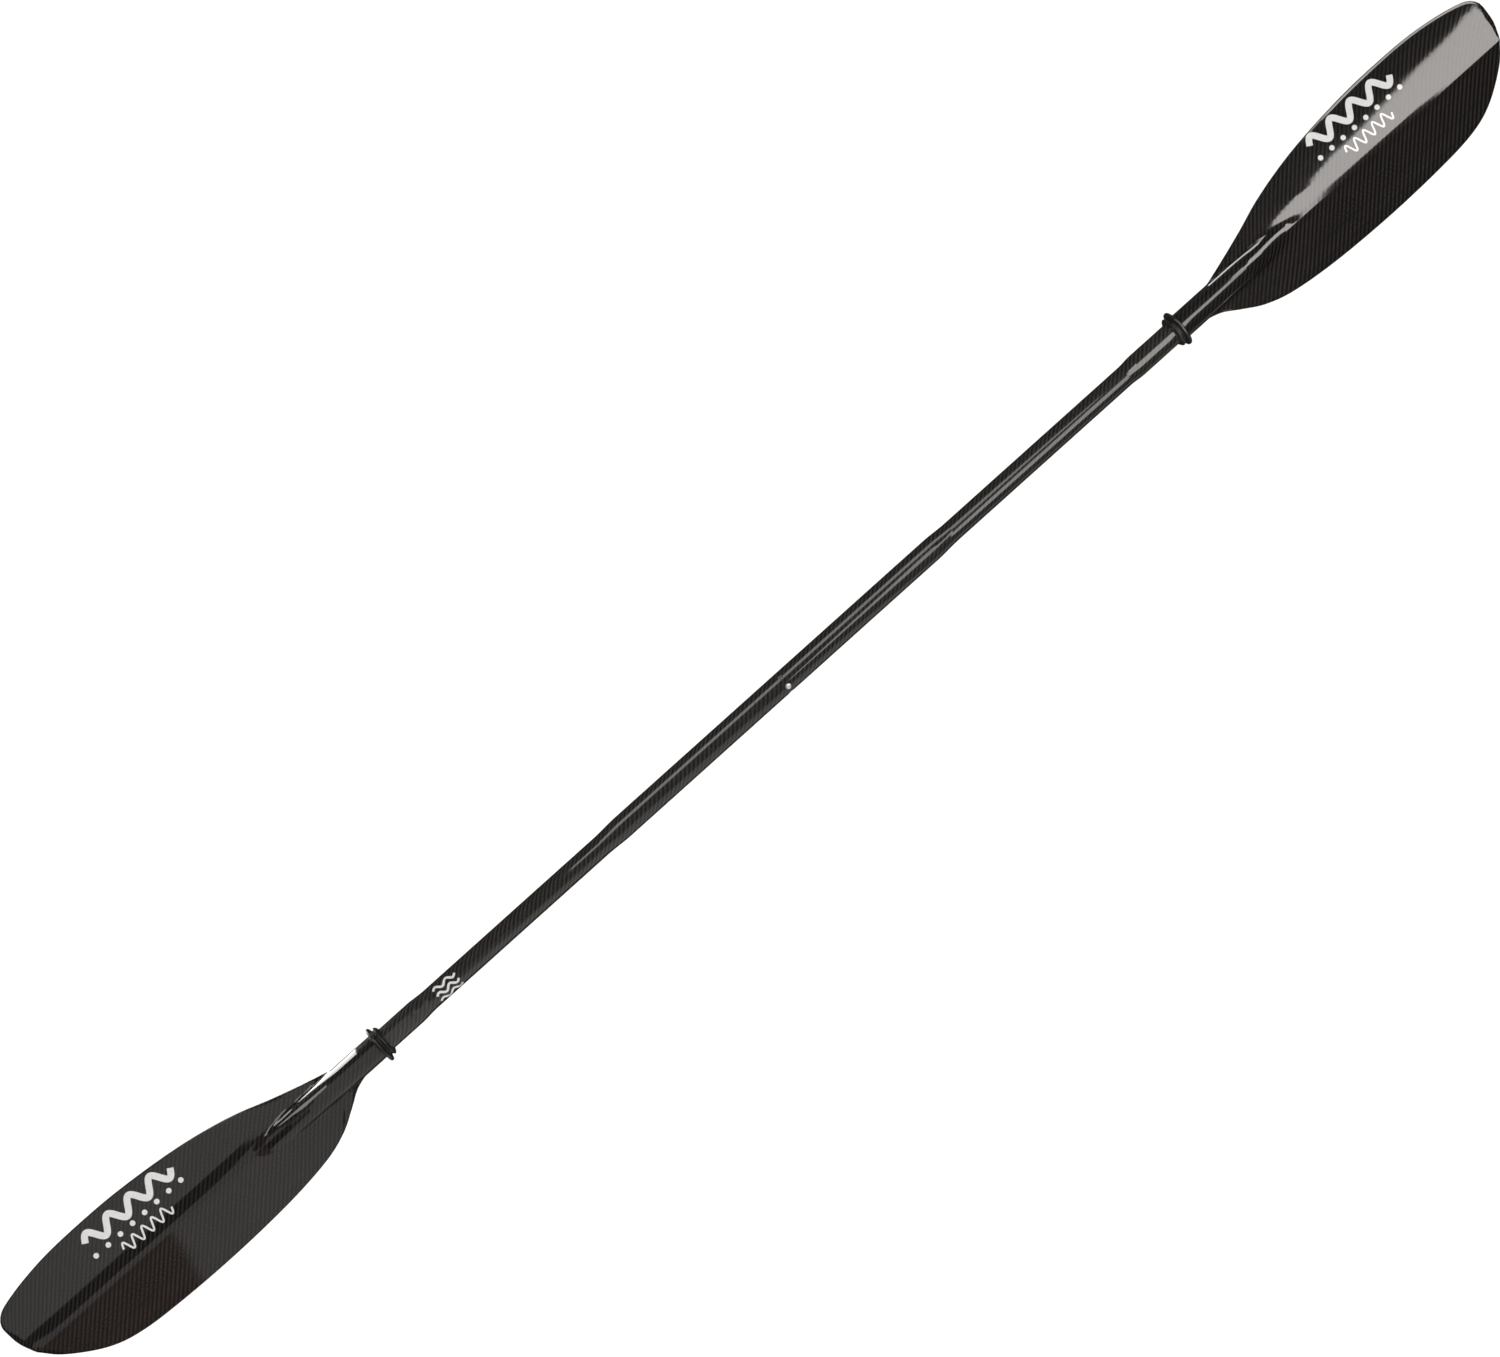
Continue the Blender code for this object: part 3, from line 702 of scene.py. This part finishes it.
class Graph:
    """A material's node tree, with short calls for the nodes used here."""

    def __init__(self, name):
        self.material = bpy.data.materials.new(name)
        self.material.use_nodes = True
        self.tree = self.material.node_tree
        self.shader = self.tree.nodes["Principled BSDF"]

    def link(self, source, socket):
        if isinstance(source, bpy.types.NodeSocket):
            self.tree.links.new(source, socket)
        else:
            socket.default_value = source

    def set(self, **values):
        for name, value in values.items():
            self.link(value, self.shader.inputs[name.replace("_", " ")])

    def node(self, kind, inputs=None, **settings):
        made = self.tree.nodes.new(kind)
        for name, value in settings.items():
            setattr(made, name, value)
        for name, value in (inputs or {}).items():
            self.link(value, made.inputs[name])
        return made

    def math(self, operation, *values):
        made = self.node("ShaderNodeMath", operation=operation)
        for i, value in enumerate(values):
            self.link(value, made.inputs[i])
        return made.outputs[0]

    def blend(self, share, low, high):
        made = self.node("ShaderNodeMix", data_type="RGBA")
        for index, value in ((0, share), (6, low), (7, high)):
            self.link(value, made.inputs[index])
        return made.outputs[2]

    def mix(self, share, low, high):
        made = self.node("ShaderNodeMix", data_type="FLOAT")
        for index, value in ((0, share), (2, low), (3, high)):
            self.link(value, made.inputs[index])
        return made.outputs[0]

    def noise(self, vector, scale, detail=2.0):
        made = self.node("ShaderNodeTexNoise", {"Vector": vector, "Scale": scale, "Detail": detail})
        return made.outputs["Fac"]

    def stretch(self, vector, scale):
        return self.node("ShaderNodeVectorMath", {0: vector, 1: scale}, operation="MULTIPLY").outputs[0]

    def split(self, vector):
        return self.node("ShaderNodeSeparateXYZ", {"Vector": vector}).outputs

    def join(self, x, y, z=0.0):
        return self.node("ShaderNodeCombineXYZ", {"X": x, "Y": y, "Z": z}).outputs[0]

    def bump(self, height, distance, normal=None):
        inputs = {"Height": height, "Distance": distance, "Strength": 1.0}
        if normal is not None:
            inputs["Normal"] = normal
        return self.node("ShaderNodeBump", inputs).outputs[0]


def carbon(name, warp_tone_and_sheen, weft_tone_and_sheen, ripple):
    """Carbon cloth in a 2x2 twill under a clear coat, in the piece's own flat coordinates. Warp and weft
    are one black fibre, and the difference between their two tones is painted sheen.
    """
    g = Graph(name)
    flat = g.node("ShaderNodeAttribute", attribute_name="weave").outputs["Vector"]
    x, y, _ = g.split(flat)
    u, v = g.math("DIVIDE", x, TOW), g.math("DIVIDE", y, TOW)
    cell_u, cell_v = g.math("FLOOR", u), g.math("FLOOR", v)
    step = g.math("FLOORED_MODULO", g.math("SUBTRACT", cell_u, cell_v), 4.0)
    warp = g.math("LESS_THAN", step, 1.5)
    place_u, place_v = g.math("FRACT", u), g.math("FRACT", v)
    bulges = [g.math("PINGPONG", place, 0.5) for place in (place_u, place_v)]
    bulge = g.math("MULTIPLY", g.mix(warp, bulges[1], bulges[0]), 2.0)
    crown = g.math("POWER", bulge, 0.6)
    tows = g.mix(warp, cell_v, cell_u)
    tint = g.node("ShaderNodeTexWhiteNoise", {"W": tows}, noise_dimensions="1D").outputs["Value"]
    streaks_u = g.noise(g.join(g.math("MULTIPLY", x, 9.0), y), 900.0)
    streaks_v = g.noise(g.join(x, g.math("MULTIPLY", y, 9.0)), 900.0)
    streaks = g.mix(warp, streaks_v, streaks_u)
    # warp and weft tows take two tones of the one black fibre: painted sheen
    cloth = g.blend(warp, weft_tone_and_sheen, warp_tone_and_sheen)
    patches = g.noise(flat, 14.0, 3.0)
    light = g.math("ADD", g.math("MULTIPLY", streaks, 0.5), g.math("MULTIPLY", tint, 0.25))
    light = g.math("ADD", light, g.math("MULTIPLY", patches, 0.5))
    # each tow is painted darker towards its edges, where it dips beside its neighbours: painted shade
    # between the tows
    light = g.math("MULTIPLY", g.math("ADD", light, 0.35), g.mix(crown, 0.35, 1.0))
    shade = g.node("ShaderNodeVectorMath", {0: cloth}, operation="SCALE")
    g.link(light, shade.inputs["Scale"])
    weave_bump = g.bump(g.math("ADD", crown, g.math("MULTIPLY", streaks, 0.3)), 0.00004)
    ripples = g.math("ADD", g.noise(flat, 130.0, 1.0), g.math("MULTIPLY", crown, ripple))
    g.set(
        Base_Color=shade.outputs[0],
        Roughness=g.mix(streaks, 0.34, 0.52),
        Normal=weave_bump,
        Specular_IOR_Level=0.04,
        Coat_Weight=1.0,
        Coat_Roughness=0.025,
        Coat_IOR=1.5,
        Coat_Normal=g.bump(ripples, 0.000004),
    )
    return g.material


def rubber(name):
    g = Graph(name)
    flat = g.node("ShaderNodeTexCoord").outputs["Object"]
    grain = g.noise(flat, 1800.0, 4.0)
    marks = g.noise(flat, 120.0, 3.0)
    g.set(
        Base_Color=g.blend(marks, (0.007, 0.007, 0.007, 1), (0.016, 0.015, 0.014, 1)),
        Roughness=g.mix(marks, 0.14, 0.26),
        Normal=g.bump(g.math("ADD", grain, g.math("MULTIPLY", marks, 2.0)), 0.00003),
        Specular_IOR_Level=0.5,
    )
    return g.material


def white_print(name):
    g = Graph(name)
    flat = g.node("ShaderNodeTexCoord").outputs["Object"]
    wear = g.noise(flat, 260.0, 5.0)
    cover = g.noise(flat, 1500.0, 2.0)
    g.set(
        Base_Color=g.blend(wear, (0.46, 0.45, 0.44, 1), (0.60, 0.59, 0.58, 1)),
        Roughness=g.mix(cover, 0.35, 0.60),
        Normal=g.bump(cover, 0.00001),
        Coat_Weight=1.0,
        Coat_Roughness=0.05,
        Coat_IOR=1.5,
    )
    return g.material


def steel(name):
    g = Graph(name)
    flat = g.node("ShaderNodeTexCoord").outputs["Object"]
    brushed = g.noise(g.stretch(flat, (6.0, 1.0, 1.0)), 1400.0, 3.0)
    stains = g.noise(flat, 300.0, 2.0)
    g.set(
        Base_Color=g.blend(stains, (0.66, 0.65, 0.63, 1), (0.82, 0.81, 0.79, 1)),
        Metallic=0.7,
        Roughness=g.mix(brushed, 0.16, 0.38),
        Normal=g.bump(brushed, 0.00001),
    )
    return g.material


def ground_glass(name):
    """Glass-fibre laminate ground to size, with fine scratches round it."""
    g = Graph(name)
    flat = g.node("ShaderNodeAttribute", attribute_name="weave").outputs["Vector"]
    scratches = g.noise(g.stretch(flat, (1.0, 0.02, 1.0)), 5000.0, 3.0)
    fibres = g.noise(g.stretch(flat, (0.15, 1.0, 1.0)), 1500.0, 2.0)
    tone = g.math("ADD", g.math("MULTIPLY", scratches, 0.4), g.math("MULTIPLY", fibres, 0.6))
    g.set(
        Base_Color=g.blend(tone, (0.030, 0.034, 0.026, 1), (0.095, 0.100, 0.080, 1)),
        Roughness=g.mix(scratches, 0.30, 0.55),
        Normal=g.bump(scratches, 0.00002),
    )
    return g.material


def closed_foam(name, dark, pale, cell):
    g = Graph(name)
    flat = g.node("ShaderNodeTexCoord").outputs["Object"]
    cells = g.node("ShaderNodeTexVoronoi", {"Vector": flat, "Scale": 1 / cell}).outputs["Distance"]
    tone = g.noise(flat, 90.0, 3.0)
    g.set(
        Base_Color=g.blend(g.mix(0.5, tone, cells), pale, dark),
        Roughness=g.mix(tone, 0.80, 0.95),
        Normal=g.bump(cells, 0.0002),
        Specular_IOR_Level=0.3,
    )
    return g.material


# ---------------------------------------------------------------- studio

LENS = 72.1
SENSOR = 36.0
CAMERA_LEAN = radians(41.81)
CAMERA_TILT = radians(3.9)
CAMERA_DISTANCE = 3.5
CAMERA_AIM = Vector((-0.0264, 0.0295, 0))
FILL_ENERGY = 4.0
FILL_SPREAD = radians(150)
ROOM_COLOUR = (1.0, 0.98, 0.96, 1)
ROOM_STRENGTH = 0.04
FLOOR_COLOUR = (0.90, 0.90, 0.89, 1)
SWEEP_SIDES = 64
CARD_STEPS = 6
WARM_WHITE = (1.0, 0.98, 0.95)

# Glowing cards, which make the long highlights: name, radius round the shaft's axis, brightness and
# tint, then stations along the card. A station is x and the card's lowest and highest turn there,
# in degrees from overhead towards +Y.
CARDS = (
    ("ridge_card", 2.0, 8.7, (1.0, 0.965, 0.935), (
        (1.262, 12.0, 15.0), (1.280, 9.5, 19.0), (1.300, 8.0, 19.5), (1.323, 8.2, 19.5),
        (1.328, 6.0, 18.6), (1.345, 5.2, 16.4), (1.358, 4.6, 16.2), (1.395, 3.9, 16.1),
        (1.431, 3.2, 16.0), (1.462, 2.7, 16.1), (1.483, 2.4, 16.4), (1.510, 2.3, 17.0),
        (1.562, 2.4, 28.0), (1.600, 2.3, 30.0), (1.650, 2.1, 30.0), (1.700, 1.7, 30.0),
        (1.860, 1.0, 33.0), (1.950, 6.0, 38.0), (2.150, 16.0, 52.0), (2.220, 20.0, 54.0),
    )),
    ("joint_card", 2.0, 4.2, WARM_WHITE, ((0.16, -20, -14), (0.50, -24, 8), (0.515, -24, 9))),
    ("grip_card", 0.3, 4.6, WARM_WHITE, ((0.286, -44, -20), (0.32, -50, -14), (0.612, -55, -12))),
    ("neck_card", 0.3, 6.2, WARM_WHITE, (
        (0.614, -38, 8), (0.682, -38, 8), (0.688, -30, 8), (0.705, -24, 8), (0.716, -16, 8),
        (0.760, -14, 8), (0.830, -8, 9),
    )),
    ("seam_card", 0.3, 7.0, WARM_WHITE, (
        (0.765, 104, 122), (0.80, 100, 122), (0.84, 94, 118), (0.87, 84, 116), (0.90, 82, 94),
    )),
    ("line_card", 2.0, 3.4, WARM_WHITE, (
        (-0.366, 27, 48), (-0.27, 27, 50), (-0.25, 30, 56), (0.50, 29, 55), (0.56, 15, 50),
        (0.75, 14, 37), (0.90, 10, 26), (0.94, 14, 20),
    )),
    ("left_face_card", 2.0, 0.75, WARM_WHITE, (
        (-1.600, -3, 7.6), (-1.111, -3, 7.6), (-1.110, -32, 7.6), (-1.020, -32, 9),
        (-0.985, -32, 10), (-0.978, -32, 30), (-0.780, -32, 34), (-0.760, -22, -18),
        (-0.500, -30, -20),
    )),
    ("left_ridge_card", 2.0, 0.62, WARM_WHITE, (
        (-1.85, 15.7, 50), (-1.64, 15.7, 46), (-1.60, 15.7, 22), (-1.33, 15.7, 20), (-1.02, 15.9, 20),
    )),
    ("right_seam_card", 0.3, 1.3, WARM_WHITE, ((0.765, -121, -99), (0.93, -119, -99))),
    ("left_seam_card", 0.3, 1.3, WARM_WHITE, ((-0.93, -119, -99), (-0.765, -121, -99))),
    ("left_tip_card", 2.0, 0.27, (1.0, 0.70, 0.62), ((-1.6, -32, -5), (-1.112, -32, -5))),
    ("left_nose_card", 0.3, 4.5, WARM_WHITE, (
        (-0.884, 60, 65), (-0.880, 57, 65), (-0.867, 50, 64), (-0.846, 48, 63), (-0.828, 38, 61),
        (-0.812, 34, 60), (-0.792, 30, 60), (-0.762, 32, 54), (-0.737, 33, 50),
    )),
    ("left_crown_card", 0.3, 5.0, WARM_WHITE, (
        (-0.890, 85, 110), (-0.880, 86, 110), (-0.867, 87, 112), (-0.846, 88, 118),
        (-0.828, 90, 122), (-0.812, 96, 124),
    )),
    ("left_side_card", 0.3, 13.0, WARM_WHITE, (
        (-0.790, 112, 140), (-0.757, 106, 140), (-0.737, 90, 140), (-0.717, 76, 140),
        (-0.683, 76, 140),
    )),
    ("low_card", 2.0, 0.75, WARM_WHITE, (
        (-2.20, -118, -50), (-0.90, -118, -22), (-0.73, -118, -22), (-0.70, -118, -50),
        (-0.32, -118, -54), (-0.28, -118, -40), (0.07, -118, -52), (0.31, -118, -68),
        (0.47, -118, -92), (0.62, -118, -105), (2.20, -118, -110),
    )),
)


def turned_sweep(name, floor_z, flat_r, curve_r, wall_z):
    """The studio's pale floor, curving up into a round wall."""
    profile = [(0.0, floor_z), (flat_r, floor_z)]
    turns = [radians(10 * i) for i in range(1, 10)]
    profile += [(flat_r + curve_r * sin(a), floor_z + curve_r * (1 - cos(a))) for a in turns]
    profile.append((flat_r + curve_r, wall_z))
    shape = bmesh.new()
    centre = shape.verts.new((0, 0, floor_z))
    turns = [2 * pi * i / SWEEP_SIDES for i in range(SWEEP_SIDES)]
    rings = []
    for radius, z in profile[1:]:
        rings.append([shape.verts.new((radius * cos(a), radius * sin(a), z)) for a in turns])
    for i in range(SWEEP_SIDES):
        shape.faces.new((centre, rings[0][i - 1], rings[0][i]))
    skin_rings(shape, rings)
    bmesh.ops.recalc_face_normals(shape, faces=shape.faces)
    bmesh.ops.reverse_faces(shape, faces=shape.faces)
    mesh = bpy.data.meshes.new(name)
    shape.to_mesh(mesh)
    shape.free()
    mesh.shade_smooth()
    g = Graph(name)
    g.set(Base_Color=FLOOR_COLOUR, Roughness=0.9, Specular_IOR_Level=0.0)
    mesh.materials.append(g.material)
    sweep = bpy.data.objects.new(name, mesh)
    bpy.context.scene.collection.objects.link(sweep)
    sweep.visible_glossy = False


def wrapped(radius, stations):
    """Rows of points across a strip that is bent round the shaft's axis, one for each station."""
    rows = []
    for x, low, high in stations:
        turns = [radians(mix(low, high, i / CARD_STEPS)) for i in range(CARD_STEPS + 1)]
        rows.append([(x, radius * sin(a), radius * cos(a)) for a in turns])
    return rows


def glow(name, radiance, tint):
    material = bpy.data.materials.new(name)
    material.use_nodes = True
    tree = material.node_tree
    tree.nodes.clear()
    emission = tree.nodes.new("ShaderNodeEmission")
    emission.inputs["Color"].default_value = (*tint, 1)
    emission.inputs["Strength"].default_value = radiance
    output = tree.nodes.new("ShaderNodeOutputMaterial")
    tree.links.new(emission.outputs[0], output.inputs["Surface"])
    return material


def card(name, radius, radiance, tint, stations):
    """A glowing card bent round the shaft's axis, which only shows in the gloss of the coats."""
    shape = bmesh.new()
    rows = [[shape.verts.new(corner) for corner in row] for row in wrapped(radius, stations)]
    skin_rings(shape, rows, closed=False)
    mesh = bpy.data.meshes.new(name)
    shape.to_mesh(mesh)
    shape.free()
    mesh.materials.append(glow(name, radiance, tint))
    board = bpy.data.objects.new(name, mesh)
    bpy.context.scene.collection.objects.link(board)
    board.visible_camera = board.visible_diffuse = board.visible_shadow = False


def lights():
    """A soft light from overhead, the glowing cards and a dim room."""
    data = bpy.data.lights.new("fill", "SUN")
    data.energy, data.angle = FILL_ENERGY, FILL_SPREAD
    fill = bpy.data.objects.new("fill", data)
    fill.visible_glossy = False
    bpy.context.scene.collection.objects.link(fill)
    for settings in CARDS:
        card(*settings)
    world = bpy.data.worlds.new("studio")
    world.use_nodes = True
    background = world.node_tree.nodes["Background"]
    background.inputs["Color"].default_value = ROOM_COLOUR
    background.inputs["Strength"].default_value = ROOM_STRENGTH
    bpy.context.scene.world = world


def camera():
    """Looking down on the power faces, the shaft's axis leaning on the picture's diagonal."""
    forward = Vector((sin(CAMERA_TILT), 0, -cos(CAMERA_TILT)))
    right = Vector((cos(CAMERA_LEAN), -sin(CAMERA_LEAN), 0))
    right = (right - forward * right.dot(forward)).normalized()
    up = right.cross(forward)
    data = bpy.data.cameras.new("camera")
    data.lens, data.sensor_width = LENS, SENSOR
    eye = bpy.data.objects.new("camera", data)
    turn = Matrix((right, up, -forward)).transposed().to_4x4()
    eye.matrix_world = Matrix.Translation(CAMERA_AIM - forward * CAMERA_DISTANCE) @ turn
    bpy.context.scene.collection.objects.link(eye)
    bpy.context.scene.camera = eye


# ---------------------------------------------------------------- the scene

# the shaft's carbon is the blade's carbon made lighter: painted sheen of the round shaft
shaft_cloth = carbon("shaft_cloth", (0.012, 0.011, 0.0100, 1), (0.034, 0.030, 0.027, 1), 0.4)
blade_cloth = carbon("blade_cloth", (0.0045, 0.0039, 0.0036, 1), (0.0165, 0.0135, 0.0120, 1), 0.3)
ring_rubber = rubber("ring_rubber")
spring_steel = steel("spring_steel")
core_foam = closed_foam("core_foam", (0.45, 0.39, 0.27, 1), (0.66, 0.60, 0.46, 1), 0.0006)
dark_foam = closed_foam("dark_foam", (0.055, 0.055, 0.060, 1), (0.12, 0.12, 0.125, 1), 0.0008)

for label, side in (("left", -1), ("right", 1)):
    shaft_tube(f"{label}_shaft_tube", side, shaft_cloth)
    drip_ring(label, side, ring_rubber)
    for face in (1, -1):
        blade_skin(label, side, face, blade_cloth)
male_ferrule(ground_glass("ferrule_glass"))
snap_button(spring_steel)
prints(white_print("white_print"))

inner_nodes = {
    "left_blade_core": core_foam,
    "right_blade_core": core_foam,
    "ferrule_plug": dark_foam,
    "socket_bulkhead": dark_foam,
    "left_shaft_plug": dark_foam,
    "right_shaft_plug": dark_foam,
}
for name, material in inner_nodes.items():
    for material_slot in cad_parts[name].material_slots:
        material_slot.material = material

turned_sweep("floor", floor_z=-0.7, flat_r=9.0, curve_r=3.0, wall_z=6.0)
lights()
camera()
bpy.context.scene.view_settings.view_transform = "Standard"
